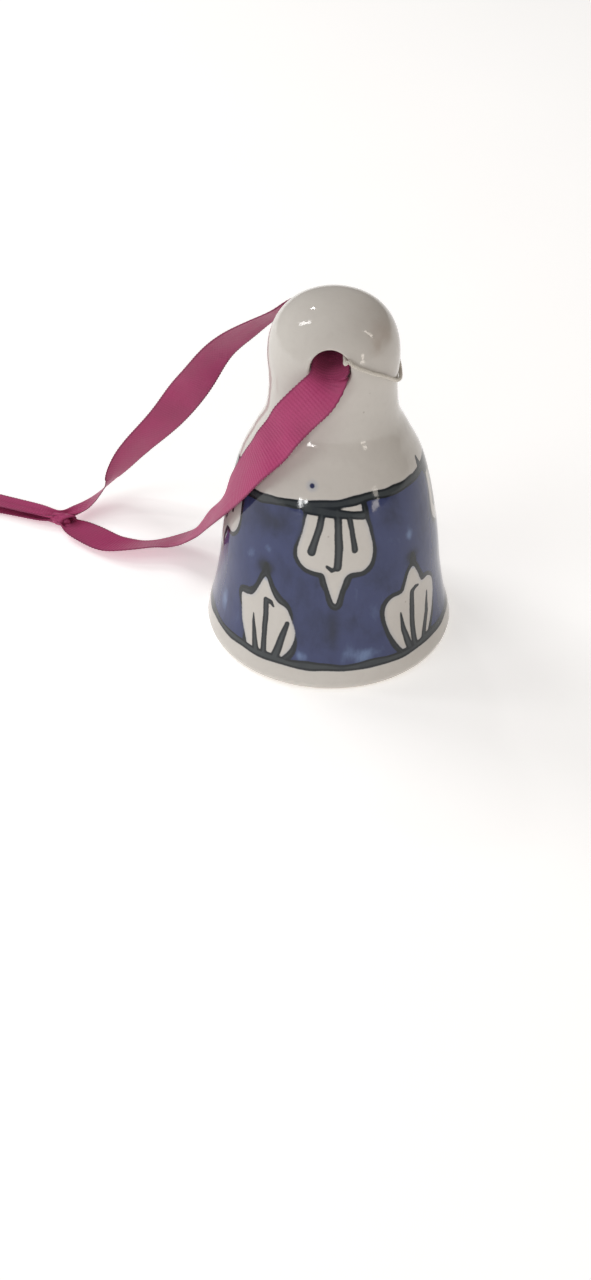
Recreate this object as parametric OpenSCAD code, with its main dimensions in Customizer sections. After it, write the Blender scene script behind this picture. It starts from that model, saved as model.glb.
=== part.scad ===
// Small hand-painted porcelain bell with a hanging ribbon and a clapper on a thread.
// The origin is the centre of the mouth, on the plane that the rim stands on. +Z is up.
// The two ribbon holes are on one line along Y. The hanging ribbon leaves to -X.

/* [Bell body] */
// Widest diameter, just above the rim
mouth_d = 46; // [44:0.5:48]
// Height from the rim to the top of the knob
bell_h = 65.5; // [65:0.5:67]
// Widest diameter of the round knob
knob_d = 22.2; // [21.5:0.1:23]
// Diameter of the waist under the knob
waist_d = 21.8; // [21:0.1:22]
// Thickness of the cast wall
wall = 2.8; // [2.4:0.1:3.2]
// Rounding of the rim that the bell stands on
rim_round = 0.8; // [0.5:0.1:1]

/* [Ribbon holes] */
// Diameter of the two holes through the knob
hole_d = 6.6; // [6.6:0.1:6.8]
// Height of the holes' centre line
hole_z = 57.35; // [57.25:0.05:57.45]

/* [Clapper] */
// Diameter of the clapper bead
bead_d = 10; // [8:0.5:10]
// Height of the clapper bead
bead_h = 11; // [9:0.5:11]
// Height of the bead's centre
bead_z = 11; // [10:0.5:13]
// Bore of the bead
bead_bore_d = 1.8; // [1.6:0.1:2.2]
// Height of the tie knot that the clapper swings from
tie_z = 46; // [44:0.5:47]
// Diameter of the tie knot
tie_d = 1.8; // [1.6:0.1:2]
// Diameter of the stop knot under the bead
stop_d = 2.4; // [2.2:0.1:3]

/* [Thread] */
// Diameter of the thread
thread_d = 0.6; // [0.4:0.05:0.7]
// Diameter of the doubled thread through the bead
doubled_d = 1; // [0.8:0.05:1.2]

/* [Ribbon] */
// Thickness of the ribbon
ribbon_t = 0.4; // [0.2:0.05:0.5]
// Outer diameter of the ribbon's knot
knot_d = 3.4; // [3.2:0.1:3.6]
// Diameter of the strand that is wound round the knot
knot_wrap_d = 0.9; // [0.7:0.1:1]

/* [Hidden] */
$fn = 96;

porcelain = [0.86, 0.85, 0.81];
magenta = [0.72, 0.16, 0.40];
thread_white = [0.90, 0.88, 0.84];

mouth_r = mouth_d / 2;
knob_r = knob_d / 2;
waist_r = waist_d / 2;
thread_r = thread_d / 2;
gap = 0.2;
knob_z = 54.5;
dome_power = 2.4;
dome_steps = 12;
outline_steps = 4;

// Outline of the bell from the rim to the knob's widest level: height, radius
outline = [
    [1.2, mouth_r],
    [3.0, mouth_r - 0.4],
    [6.5, mouth_r - 1.4],
    [13, mouth_r - 2.6],
    [21, mouth_r - 3.6],
    [29, mouth_r - 5.1],
    [35.5, mouth_r - 7],
    [40.5, (mouth_r - 7 + waist_r) / 2],
    [44.5, waist_r + 0.6],
    [49.5, waist_r],
    [knob_z, knob_r]
];

// Route of the ribbon out of the front hole: x, y, z, roll, width across, bow of the curled section
front_route = [
    [0, 0, 58, 0, 5.4, 1.8],
    [0, -3, 58, 0, 5.4, 1.8],
    [0, -5.5, 57.5, 0, 5.6, 1.8],
    [0, -8, 57.1, 0, 5.9, 1.8],
    [0, -10.8, 56.3, 0, 5.9, 1.7],
    [-0.5, -12.1, 55.8, 20, 6, 1],
    [-2, -13, 54.2, 62, 7, 0.4],
    [-4.2, -13, 51.8, 74, 7, 0],
    [-6.5, -13, 49, 70, 7, 0],
    [-8.5, -12.5, 45.5, 64, 7, 0],
    [-11, -12, 42, 60, 7, 0],
    [-13.5, -10.5, 38, 60, 7, 0],
    [-15.5, -9, 34, 60, 7, 0],
    [-17.8, -6.5, 30, 58, 7, 0],
    [-19.4, -4, 26, 52, 7, 0],
    [-21, -0.5, 22, 50, 7, 0],
    [-23, 4, 17, 45, 7, 0],
    [-26, 9, 11.5, 38, 7, 0],
    [-28.5, 13, 6.5, 20, 7, 0],
    [-31.5, 16, 3, -10, 7, 0],
    [-35, 16, 2, -28, 7, 0],
    [-39.5, 15, 2, -24, 7, 0],
    [-45, 16.4, 1, -5, 7, 0],
    [-50, 19.4, 1, -5, 7, 0],
    [-53.3, 21.3, 1.1, -8, 6.2, 0.2],
    [-55.4, 22.5, 1.1, -10, 3.6, 0.4],
    [-57.2, 23.3, 1.15, -8, 1.6, 0.2],
    [-59, 24.4, 0.9, 4, 3.2, 0.2],
    [-62, 25.7, 0.85, 6, 4.2, 0.2],
    [-66, 27.2, 0.8, 5, 4.8, 0.15],
    [-71, 28.8, 0.6, 3, 5.2, 0.1],
    [-76, 30.1, 0.5, 1, 5.6, 0.05],
    [-80, 31.2, 0.5, 0, 5.8, 0]
];

// Route of the ribbon out of the rear hole, in the same terms
back_route = [
    [0, 0, 58, 0, 5.4, 1.8],
    [0, 3, 58, 0, 5.4, 1.8],
    [0, 5.5, 57.5, 0, 5.4, 1.8],
    [0, 8, 57.1, 0, 5.4, 1.8],
    [0, 11, 56.4, 0, 5.4, 1.4],
    [-0.3, 13, 56.4, -40, 6.4, 0.8],
    [-2, 15.2, 56, -70, 7, 0.3],
    [-5, 16.4, 55.3, -62, 7, 0],
    [-9, 17, 54, -42, 7, 0],
    [-13, 17.2, 52, -29, 7, 0],
    [-18, 19, 47.7, -34, 7, 0],
    [-23, 22, 42, -32, 7, 0],
    [-27, 24.5, 35, -47, 7, 0],
    [-31, 27.5, 28.5, -66, 7, 0],
    [-33.5, 28.5, 24.5, -60, 7, 0],
    [-37, 30, 20, -52, 7, 0],
    [-42, 32, 14, -44, 7, 0],
    [-45.5, 32.7, 8.8, -40, 7, 0],
    [-48, 32.1, 5.2, -44, 6.4, 0],
    [-50.4, 30, 3.2, -48, 5.6, 0.1],
    [-52.4, 27.6, 2.3, -20, 5.2, 0.3],
    [-54.4, 25.4, 2, -6, 4.4, 0.4],
    [-56.8, 23.9, 1.95, -6, 1.8, 0.2],
    [-59, 24.4, 1.9, 0, 3.2, 0.3],
    [-62, 25.5, 1.9, -6, 4.2, 0.3],
    [-66, 27, 1.7, -8, 4.6, 0.3],
    [-71, 28.7, 1.5, -6, 4.8, 0.3],
    [-76, 30.1, 1.4, -2, 5.2, 0.3],
    [-80, 31.2, 1.4, 3, 5.4, 0.2]
];
knot_at = [-57, 23.6, 1.75];
knot_turn = -24;

// The thread inside, from the tie knot to the front hole: x, y, z
leg_route = [
    [0.3, -1.2, 46.8],
    [1.8, -4, 51],
    [3.4, -5.8, 55],
    [3.8, -5.9, 57.2],
    [3.7, -5.9, 58.2],
    [2.8, -6.1, 58.95],
    [2.2, -7, 59.1],
    [2.2, -8.2, 59.16],
    [2.34, -9.6, 59.1],
    [2.42, -10.8, 59.05]
];
// The thread outside, round the right side of the knob: degrees from the front, height
wrap_route = [
    [16, 59.2],
    [19, 58.6],
    [25, 57.9],
    [37, 56.6],
    [52, 54.9],
    [70, 52.6],
    [90, 51.4]
];

// A smooth curve through the rows, with steps between each two rows
function on_curve(rows, i, t) =
    let (
        before = rows[max(i - 1, 0)],
        from = rows[i],
        to = rows[i + 1],
        after = rows[min(i + 2, len(rows) - 1)]
    )
    from
        + (to - before) * t / 2
        + (2 * before - 5 * from + 4 * to - after) * t * t / 2
        + (3 * from - before - 3 * to + after) * t * t * t / 2;
function curve(rows, steps) = concat(
    [for (i = [0 : len(rows) - 2], k = [0 : steps - 1]) on_curve(rows, i, k / steps)],
    [rows[len(rows) - 1]]
);
function unit(v) = v / norm(v);
function place(row) = [row[0], row[1], row[2]];
function reversed(rows) = [for (i = [len(rows) - 1 : -1 : 0]) rows[i]];
// Direction of a route at its row i
function along(rows, i) =
    unit(place(rows[min(i + 1, len(rows) - 1)]) - place(rows[max(i - 1, 0)]));

// Outer radius of the bell at height z, by walking the smooth outline, and above it the knob's dome
body_curve = curve(outline, outline_steps);
dome_h = bell_h - knob_z;
function dome_r(share, r) = r * pow(max(1 - pow(share, dome_power), 0), 1 / dome_power);
function bell_r(z) = z > knob_z
    ? dome_r(min((z - knob_z) / dome_h, 1), knob_r)
    : lookup(z, body_curve);

// Half section of a solid of the bell's shape, its wall moved in by inset
function half_section(inset) = concat(
    [for (row = body_curve) [row[1] - inset, row[0]]],
    [for (k = [1 : dome_steps - 1])
        let (angle = 90 * k / dome_steps)
        [dome_r(sin(angle), knob_r - inset), knob_z + (dome_h - inset) * sin(angle)]],
    [[0, bell_h - inset]]
);

// Closed tube or strip through rings of equally many points. The first half of each ring and the second
// are cut along matching diagonals, so that the two faces of a thin twisted strip stay apart.
module swept(rings) {
    sides = len(rings[0]);
    last = len(rings) - 1;
    points = [for (ring = rings) each ring];
    walls = [for (i = [0 : last - 1], k = [0 : sides - 1])
        let (
            this = i * sides + k,
            next = i * sides + (k + 1) % sides
        )
        each k < sides / 2
            ? [[this, next, next + sides], [this, next + sides, this + sides]]
            : [[this, next, this + sides], [next, next + sides, this + sides]]];
    first_cap = [[for (k = [sides - 1 : -1 : 0]) k]];
    last_cap = [[for (k = [0 : sides - 1]) last * sides + k]];
    polyhedron(points, concat(walls, first_cap, last_cap), convexity = 8);
}

// Ring of a round tube of radius r at row i of a route
function tube_ring(rows, i, r, sides) =
    let (
        ahead = along(rows, i),
        side = unit(cross(ahead, abs(ahead[2]) > 0.9 ? [1, 0, 0] : [0, 0, 1])),
        up = cross(side, ahead)
    )
    [for (k = [0 : sides - 1])
        let (angle = -360 * k / sides)
        place(rows[i]) + r * (cos(angle) * side + sin(angle) * up)];

// Ring of a ribbon at row i: four points along its upper face and four back along its lower face
function ribbon_ring(rows, i) =
    let (
        ahead = along(rows, i),
        level = unit(cross(ahead, [0, 0, 1])),
        steep = cross(level, ahead),
        roll = rows[i][3],
        side = level * cos(roll) + steep * sin(roll),
        up = cross(side, ahead),
        shares = [-1, -1 / 3, 1 / 3, 1],
        half_across = rows[i][4] / 2,
        bow = rows[i][5]
    )
    [for (face = [-1, 1], share = face < 0 ? shares : reversed(shares))
        place(rows[i])
            + side * half_across * share
            + up * (bow * (share * share - 0.5) + face * ribbon_t / 2)];

module ribbon_strand(route) {
    color(magenta)
        swept([for (i = [0 : len(route) - 1]) ribbon_ring(route, i)]);
}

module bell_body() {
    outer = half_section(0);
    inner = half_section(wall);
    rim_in = mouth_r - wall - 0.1;
    color(porcelain)
        difference() {
            rotate_extrude()
                polygon(concat(
                    [[0, 0], [mouth_r - rim_round, 0], [mouth_r - rim_round * 0.3, rim_round * 0.4]],
                    outer
                ));
            rotate_extrude()
                polygon(concat([[0, -1], [rim_in, -1], [rim_in, inner[0][1]]], inner));
            translate([0, mouth_r, hole_z])
                rotate([90, 0, 0])
                    cylinder(d = hole_d, h = 2 * mouth_r);
        }
}

module ribbon_front() {
    ribbon_strand(front_route);
}

module ribbon_back() {
    ribbon_strand(back_route);
}

module ribbon_knot() {
    color(magenta)
        translate(knot_at)
            rotate([0, 0, knot_turn])
                rotate([0, 90, 0])
                    rotate_extrude($fn = 32)
                        translate([(knot_d - knot_wrap_d) / 2, 0])
                            circle(d = knot_wrap_d, $fn = 16);
}

module thread_loop() {
    outside = [for (row = wrap_route)
        let (r = bell_r(row[1]) + thread_r + 0.1)
        [r * sin(row[0]), -r * cos(row[0]), row[1]]];
    half_loop = concat(leg_route, outside);
    rear = [for (i = [len(half_loop) - 2 : -1 : 0])
        [half_loop[i][0], -half_loop[i][1], half_loop[i][2]]];
    path = curve(concat(half_loop, rear), 2);
    color(thread_white)
        swept([for (i = [0 : len(path) - 1]) tube_ring(path, i, thread_r, 8)]);
}

module thread_tie() {
    color(thread_white)
        translate([0, 0, tie_z])
            sphere(d = tie_d, $fn = 32);
}

module clapper_thread() {
    low = bead_z - bead_h / 2;
    top = tie_z - tie_d / 2 - gap;
    color(thread_white)
        translate([0, 0, low])
            cylinder(d = doubled_d, h = top - low, $fn = 24);
}

module clapper_bead() {
    color(porcelain)
        translate([0, 0, bead_z])
            difference() {
                rotate_extrude()
                    polygon(concat(
                        [[0, -bead_h / 2], [bead_bore_d, -bead_h / 2]],
                        [for (angle = [-60 : 7.5 : 60])
                            [bead_d / 2 * pow(cos(angle), 0.9), bead_h / 2 * sin(angle) / sin(67.5)]],
                        [[bead_bore_d, bead_h / 2], [0, bead_h / 2]]
                    ));
                cylinder(d = bead_bore_d, h = 2 * bead_h, center = true);
            }
}

module stop_knot() {
    color(thread_white)
        translate([0, 0, bead_z - bead_h / 2 - stop_d / 2])
            sphere(d = stop_d, $fn = 32);
}

bell_body();
ribbon_front();
ribbon_back();
ribbon_knot();
thread_loop();
thread_tie();
clapper_thread();
clapper_bead();
stop_knot();
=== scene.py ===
"""Looks for the hand-painted porcelain bell: ribbon, knot, thread, painted body and clapper."""

import math

import bpy
import numpy as np
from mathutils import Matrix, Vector, noise


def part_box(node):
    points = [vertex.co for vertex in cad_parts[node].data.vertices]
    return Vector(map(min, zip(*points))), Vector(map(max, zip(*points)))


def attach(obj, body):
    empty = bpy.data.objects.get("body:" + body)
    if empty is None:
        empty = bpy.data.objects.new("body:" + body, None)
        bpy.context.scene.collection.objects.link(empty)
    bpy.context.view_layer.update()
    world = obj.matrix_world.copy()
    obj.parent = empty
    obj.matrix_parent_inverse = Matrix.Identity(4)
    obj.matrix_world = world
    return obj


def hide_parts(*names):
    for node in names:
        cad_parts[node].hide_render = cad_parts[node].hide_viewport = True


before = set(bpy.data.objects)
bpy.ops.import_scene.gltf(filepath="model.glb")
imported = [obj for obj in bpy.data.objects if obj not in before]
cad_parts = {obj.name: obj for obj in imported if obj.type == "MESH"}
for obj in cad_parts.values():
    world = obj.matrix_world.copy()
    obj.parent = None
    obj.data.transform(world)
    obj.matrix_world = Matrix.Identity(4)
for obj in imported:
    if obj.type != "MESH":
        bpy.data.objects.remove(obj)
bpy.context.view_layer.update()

MM = 0.001
bell_low, bell_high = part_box("bell_body")
bead_low, bead_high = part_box("clapper_bead")
mouth_r = (bell_high.x - bell_low.x) / 2 / MM
bell_h = bell_high.z / MM


# ---------------------------------------------------------------- camera
CAMERA_AT = (0.0104, -0.2085, 0.1693)
CAMERA_DOWN_DEG = 40.29
CAMERA_TURN_DEG = 4.6
LENS_MM = 39.4


def make_camera():
    data = bpy.data.cameras.new("camera")
    data.lens = LENS_MM
    data.sensor_width = 36
    data.clip_start = 0.01
    camera = bpy.data.objects.new("camera", data)
    camera.location = CAMERA_AT
    camera.rotation_euler = (math.radians(90 - CAMERA_DOWN_DEG), 0, math.radians(CAMERA_TURN_DEG))
    bpy.context.scene.collection.objects.link(camera)
    bpy.context.scene.camera = camera


make_camera()


# ---------------------------------------------------------------- curves and meshes, in millimetres
def smooth_curve(rows, steps):
    """A smooth curve through the rows, with steps between each two rows."""
    rows = np.array(rows, float)
    out = []
    for i in range(len(rows) - 1):
        before, start = rows[max(i - 1, 0)], rows[i]
        end, after = rows[i + 1], rows[min(i + 2, len(rows) - 1)]
        for t in np.arange(steps) / steps:
            out.append(
                start
                + (end - before) * t / 2
                + (2 * before - 5 * start + 4 * end - after) * t**2 / 2
                + (3 * start - before - 3 * end + after) * t**3 / 2
            )
    return np.array(out + [rows[-1]])


def run_length(points):
    """How far along a line each of its points is."""
    return np.concatenate([[0], np.cumsum(np.linalg.norm(np.diff(points, axis=0), axis=1))])


def spaced(rows, spacing, dims=3):
    """The rows again, evenly spaced along the line of their first dims columns."""
    rows = np.array(rows, float)
    along = run_length(rows[:, :dims])
    at = np.linspace(0, along[-1], max(3, int(along[-1] / spacing) + 1))
    return np.stack([np.interp(at, along, rows[:, k]) for k in range(rows.shape[1])], axis=1)


def unit(v):
    return v / np.maximum(np.linalg.norm(v, axis=-1, keepdims=True), 1e-12)


def carried_frames(points):
    """Tangents, and two directions across that don't spin along the line."""
    ahead = unit(np.gradient(points, axis=0))
    start = np.array([0, 0, 1.0]) if abs(ahead[0][2]) < 0.9 else np.array([1.0, 0, 0])
    side = [unit(np.cross(ahead[0], start))]
    for t in ahead[1:]:
        side.append(unit(side[-1] - t * (side[-1] @ t)))
    side = np.array(side)
    return ahead, side, np.cross(ahead, side)


def ring_faces(rings, around):
    """Quads of a tube of that many rings, with the given number of points around."""
    faces = []
    for i in range(rings - 1):
        for k in range(around):
            a, b = i * around + k, i * around + (k + 1) % around
            faces.append((a, b, b + around, a + around))
    return faces


def tube(points, radius, sides=8):
    """A round tube along the points, with closed ends: its vertices and faces."""
    _, side, up = carried_frames(points)
    radius = np.broadcast_to(radius, len(points))
    angles = np.arange(sides) * 2 * math.pi / sides
    ring = side[:, None] * np.cos(angles)[:, None] + up[:, None] * np.sin(angles)[:, None]
    verts = (points[:, None] + ring * radius[:, None, None]).reshape(-1, 3)
    last = (len(points) - 1) * sides
    faces = ring_faces(len(points), sides)
    faces.append(tuple(reversed(range(sides))))
    faces.append(tuple(last + k for k in range(sides)))
    return verts, faces


def flat_faces(rings, count):
    """Faces of a flat tube with count points on its upper side and as many below, with closed ends."""
    around = 2 * count
    faces = ring_faces(rings, around)
    last = (rings - 1) * around
    for k in range(count - 1):
        faces.append((k + 1, k, around - 1 - k, around - 2 - k))
        faces.append((last + k, last + k + 1, last + around - 2 - k, last + around - 1 - k))
    return faces


def joined(parts):
    """Several (vertices, faces) as one."""
    verts, faces, base = [], [], 0
    for part_verts, part_faces in parts:
        verts.append(part_verts)
        faces += [tuple(base + v for v in face) for face in part_faces]
        base += len(part_verts)
    return np.concatenate(verts), faces


def add_piece(name, verts, faces, material, body, replaced, attributes=None):
    """A smooth mesh object from vertices in millimetres, riding on a body."""
    mesh = bpy.data.meshes.new(name)
    mesh.from_pydata((np.array(verts) * MM).tolist(), [], faces)
    mesh.validate()
    mesh.shade_smooth()
    for key, values in (attributes or {}).items():
        layer = mesh.attributes.new(key, "FLOAT", "POINT")
        layer.data.foreach_set("value", np.array(values, np.float32))
    mesh.materials.append(material)
    piece = bpy.data.objects.new(name, mesh)
    bpy.context.scene.collection.objects.link(piece)
    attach(piece, body)
    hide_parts(*replaced)
    return piece


# ---------------------------------------------------------------- material helpers
class Nodes:
    """Short calls for building a node material."""

    def __init__(self, name):
        self.material = bpy.data.materials.new(name)
        self.material.use_nodes = True
        self.tree = self.material.node_tree
        self.shader = self.tree.nodes["Principled BSDF"]

    def link(self, source, socket):
        if isinstance(source, (int, float)):
            socket.default_value = source
        elif isinstance(source, tuple):
            socket.default_value = (*source, 1) if len(source) == 3 else source
        else:
            self.tree.links.new(source, socket)

    def attribute(self, name):
        node = self.tree.nodes.new("ShaderNodeAttribute")
        node.attribute_name = name
        return node.outputs["Fac"]

    def position(self):
        """Object coordinates in millimetres."""
        node = self.tree.nodes.new("ShaderNodeTexCoord")
        scale = self.tree.nodes.new("ShaderNodeVectorMath")
        scale.operation = "SCALE"
        scale.inputs["Scale"].default_value = 1 / MM
        self.link(node.outputs["Object"], scale.inputs[0])
        return scale.outputs[0]

    def stretched(self, vector, scale):
        node = self.tree.nodes.new("ShaderNodeVectorMath")
        node.operation = "MULTIPLY"
        self.link(vector, node.inputs[0])
        node.inputs[1].default_value = scale
        return node.outputs[0]

    def combined(self, x, y, z=0.0):
        node = self.tree.nodes.new("ShaderNodeCombineXYZ")
        for source, socket in zip((x, y, z), node.inputs):
            self.link(source, socket)
        return node.outputs[0]

    def noise(self, vector, scale, detail=3.0, rough=0.5, warp=0.0):
        node = self.tree.nodes.new("ShaderNodeTexNoise")
        self.link(vector, node.inputs["Vector"])
        node.inputs["Scale"].default_value = scale
        node.inputs["Detail"].default_value = detail
        node.inputs["Roughness"].default_value = rough
        node.inputs["Distortion"].default_value = warp
        return node.outputs["Fac"]

    def cells(self, vector, scale):
        node = self.tree.nodes.new("ShaderNodeTexVoronoi")
        self.link(vector, node.inputs["Vector"])
        node.inputs["Scale"].default_value = scale
        return node.outputs["Distance"]

    def math(self, kind, a, b=0.0):
        node = self.tree.nodes.new("ShaderNodeMath")
        node.operation = kind
        for source, socket in zip((a, b), node.inputs):
            self.link(source, socket)
        return node.outputs[0]

    def ramp(self, value, low, high, to_low=0.0, to_high=1.0):
        """A smooth step of value from low to high."""
        node = self.tree.nodes.new("ShaderNodeMapRange")
        node.interpolation_type = "SMOOTHSTEP"
        sources = (value, low, high, to_low, to_high)
        for source, key in zip(sources, ("Value", "From Min", "From Max", "To Min", "To Max")):
            self.link(source, node.inputs[key])
        return node.outputs[0]

    def mix(self, share, a, b):
        node = self.tree.nodes.new("ShaderNodeMix")
        node.data_type = "RGBA"
        self.link(share, node.inputs["Factor"])
        self.link(a, node.inputs["A"])
        self.link(b, node.inputs["B"])
        return node.outputs["Result"]

    def bump(self, height, distance_mm, strength=1.0, after=None):
        node = self.tree.nodes.new("ShaderNodeBump")
        node.inputs["Strength"].default_value = strength
        node.inputs["Distance"].default_value = distance_mm * MM
        self.link(height, node.inputs["Height"])
        if after is not None:
            self.link(after, node.inputs["Normal"])
        return node.outputs[0]

    def finish(self, colour, roughness, normal=None, **constants):
        self.link(colour, self.shader.inputs["Base Color"])
        self.link(roughness, self.shader.inputs["Roughness"])
        if normal is not None:
            self.link(normal, self.shader.inputs["Normal"])
        for key, value in constants.items():
            self.shader.inputs[key.replace("_", " ")].default_value = value
        return self.material


# ---------------------------------------------------------------- materials of the ribbon and thread
WEFT_PITCH = 0.62
YARN_PITCH = 0.36


def ribbon_material():
    n = Nodes("magenta_satin")
    place = n.position()
    along, across = n.attribute("along"), n.attribute("across")
    rib = n.math("SINE", n.math("MULTIPLY", along, 2 * math.pi / WEFT_PITCH))
    yarn = n.math("SINE", n.math("MULTIPLY", across, 2 * math.pi / YARN_PITCH))
    weave = n.math("MULTIPLY", rib, yarn)
    edge = n.ramp(n.math("ABSOLUTE", across), 3.05, 3.4)
    streaks = n.noise(n.combined(n.math("MULTIPLY", along, 0.08), n.math("MULTIPLY", across, 3.0)), 1.0, 4)
    patches = n.noise(place, 0.09, 2)
    lint = n.noise(n.stretched(place, (5, 5, 5)), 1.0, 4, 0.7)
    colour = n.mix(streaks, (0.40, 0.05, 0.145), (0.5, 0.076, 0.205))
    colour = n.mix(n.ramp(patches, 0.35, 0.65, 0, 0.45), colour, (0.38, 0.085, 0.165))
    # Noise patches where the weave carries painted shade in its rib grooves and a painted highlight on its
    # floats
    rib_shading_patches = n.ramp(n.noise(place, 0.35, 3), 0.42, 0.62, 0.15, 1)
    # Painted shade: the grooves between the weft ribs are darkened in the colour
    rib_groove_shade = n.math("MULTIPLY", n.ramp(rib, -1, 0.4, 0.2, 0), rib_shading_patches)
    colour = n.mix(rib_groove_shade, colour, (0.2, 0.02, 0.07))
    # Painted highlight: the raised yarn floats of the weave are lightened in the colour
    colour = n.mix(n.math("MULTIPLY", n.ramp(weave, 0.2, 1, 0, 0.3), rib_shading_patches), colour, (0.6, 0.13, 0.3))
    colour = n.mix(n.ramp(lint, 0.6, 0.8, 0, 0.25), colour, (0.46, 0.1, 0.22))
    colour = n.mix(n.math("MULTIPLY", edge, 0.55), colour, (0.15, 0.03, 0.07))
    height = n.math("ADD", n.math("MULTIPLY", rib, 0.6), n.math("MULTIPLY", weave, 0.5))
    normal = n.bump(height, 0.03, 0.7)
    rough = n.ramp(streaks, 0.3, 0.7, 0.36, 0.5)
    return n.finish(
        colour, rough, normal,
        Sheen_Weight=0.02, Sheen_Roughness=0.4, Sheen_Tint=(1.0, 0.5, 0.7, 1), Specular_IOR_Level=0.2,
    )


def thread_material():
    n = Nodes("cotton_thread")
    place = n.position()
    fibre = n.noise(n.stretched(place, (9, 9, 3)), 1.0, 5, 0.6)
    dirt = n.noise(place, 0.25, 3)
    colour = n.mix(fibre, (0.56, 0.52, 0.45), (0.84, 0.80, 0.73))
    colour = n.mix(n.ramp(dirt, 0.5, 0.75, 0, 0.3), colour, (0.46, 0.39, 0.31))
    normal = n.bump(fibre, 0.05, 0.7)
    return n.finish(colour, 0.8, normal, Sheen_Weight=0.25, Specular_IOR_Level=0.3)


satin = ribbon_material()
cotton = thread_material()

# ---------------------------------------------------------------- ribbon
# The two strands' routes: x, y, z, roll, width across, bow of the curled section
FRONT_ROUTE = [
    [0, 0, 58, 0, 5.4, 1.8],
    [0, -3, 58, 0, 5.4, 1.8],
    [0, -5.5, 57.5, 0, 5.6, 1.8],
    [0, -8, 57.1, 0, 5.9, 1.8],
    [0, -10.8, 56.3, 0, 5.9, 1.7],
    [-0.5, -12.1, 55.8, 20, 6, 1],
    [-2, -13, 54.2, 62, 7, 0.4],
    [-4.2, -13, 51.8, 74, 7, 0],
    [-6.5, -13, 49, 70, 7, 0],
    [-8.5, -12.5, 45.5, 64, 7, 0],
    [-11, -12, 42, 60, 7, 0],
    [-13.5, -10.5, 38, 60, 7, 0],
    [-15.5, -9, 34, 60, 7, 0],
    [-17.8, -6.5, 30, 58, 7, 0],
    [-19.4, -4, 26, 52, 7, 0],
    [-21, -0.5, 22, 50, 7, 0],
    [-23, 4, 17, 45, 7, 0],
    [-26, 9, 11.5, 38, 7, 0],
    [-28.5, 13, 6.5, 20, 7, 0],
    [-31.5, 16, 3, -10, 7, 0],
    [-35, 16, 2, -28, 7, 0],
    [-39.5, 15, 2, -24, 7, 0],
    [-45, 16.4, 1, -5, 7, 0],
    [-50, 19.4, 1, -5, 7, 0],
    [-53.3, 21.3, 1.1, -8, 6.2, 0.2],
    [-55.4, 22.5, 1.1, -10, 3.6, 0.4],
    [-57.2, 23.3, 1.15, -8, 1.6, 0.2],
    [-59, 24.4, 0.9, 4, 3.2, 0.2],
    [-62, 25.7, 0.85, 6, 4.2, 0.2],
    [-66, 27.2, 0.8, 5, 4.8, 0.15],
    [-71, 28.8, 0.6, 3, 5.2, 0.1],
    [-76, 30.1, 0.5, 1, 5.6, 0.05],
    [-80, 31.2, 0.5, 0, 5.8, 0],
]
BACK_ROUTE = [
    [0, 0, 58, 0, 5.4, 1.8],
    [0, 3, 58, 0, 5.4, 1.8],
    [0, 5.5, 57.5, 0, 5.4, 1.8],
    [0, 8, 57.1, 0, 5.4, 1.8],
    [0, 11, 56.4, 0, 5.4, 1.4],
    [-0.3, 13, 56.4, -40, 6.4, 0.8],
    [-2, 15.2, 56, -70, 7, 0.3],
    [-5, 16.4, 55.3, -62, 7, 0],
    [-9, 17, 54, -42, 7, 0],
    [-13, 17.2, 52, -29, 7, 0],
    [-18, 19, 47.7, -34, 7, 0],
    [-23, 22, 42, -32, 7, 0],
    [-27, 24.5, 35, -47, 7, 0],
    [-31, 27.5, 28.5, -66, 7, 0],
    [-33.5, 28.5, 24.5, -60, 7, 0],
    [-37, 30, 20, -52, 7, 0],
    [-42, 32, 14, -44, 7, 0],
    [-45.5, 32.7, 8.8, -40, 7, 0],
    [-48, 32.1, 5.2, -44, 6.4, 0],
    [-50.4, 30, 3.2, -48, 5.6, 0.1],
    [-52.4, 27.6, 2.3, -20, 5.2, 0.3],
    [-54.4, 25.4, 2, -6, 4.4, 0.4],
    [-56.8, 23.9, 1.95, -6, 1.8, 0.2],
    [-59, 24.4, 1.9, 0, 3.2, 0.3],
    [-62, 25.5, 1.9, -6, 4.2, 0.3],
    [-66, 27, 1.7, -8, 4.6, 0.3],
    [-71, 28.7, 1.5, -6, 4.8, 0.3],
    [-76, 30.1, 1.4, -2, 5.2, 0.3],
    [-80, 31.2, 1.4, 3, 5.4, 0.2],
]
KNOT_AT = np.array([-57, 23.6, 1.55])
KNOT_TURN_DEG = -24
RIBBON_W = 7.0
RIBBON_T = 0.16
ROW_SPACING = 0.124
STIFF_ROWS = 85  # rows inside the bell, which follow the hole
FREE_ROWS = 200  # rows after which a strand hangs free of the bell
KNOT_ROWS = 310  # rows before the end, which hold the knot's pinch
BORE_EXTRA = 0.3  # extra width inside the hole, which the ribbon fills
PLEAT_BELOW = 5.0  # width under which the ribbon lies in pleats
PICOT_PITCH = 0.72
HOLE_Z = 57.35


def strand_frames(rows):
    """Places, and the directions across and out of the ribbon, at each row of a route."""
    place = rows[:, :3]
    ahead = unit(np.gradient(place, axis=0))
    level = unit(np.cross(ahead, [0, 0, 1]))
    steep = np.cross(level, ahead)
    roll = np.radians(rows[:, 3])[:, None]
    side = level * np.cos(roll) + steep * np.sin(roll)
    return place, side, np.cross(side, ahead)


def calmed(rows, reach):
    """The rows with each value averaged over its neighbours, the ends kept."""
    span = np.arange(-reach, reach + 1)
    weights = np.exp(-((span / (reach / 2)) ** 2))
    before = 2 * rows[:1] - rows[reach:0:-1]
    after = 2 * rows[-1:] - rows[-2 : -reach - 2 : -1]
    padded = np.concatenate([before, rows, after])
    columns = [np.convolve(padded[:, k], weights / weights.sum(), "valid") for k in range(rows.shape[1])]
    return np.stack(columns, axis=1)


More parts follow.
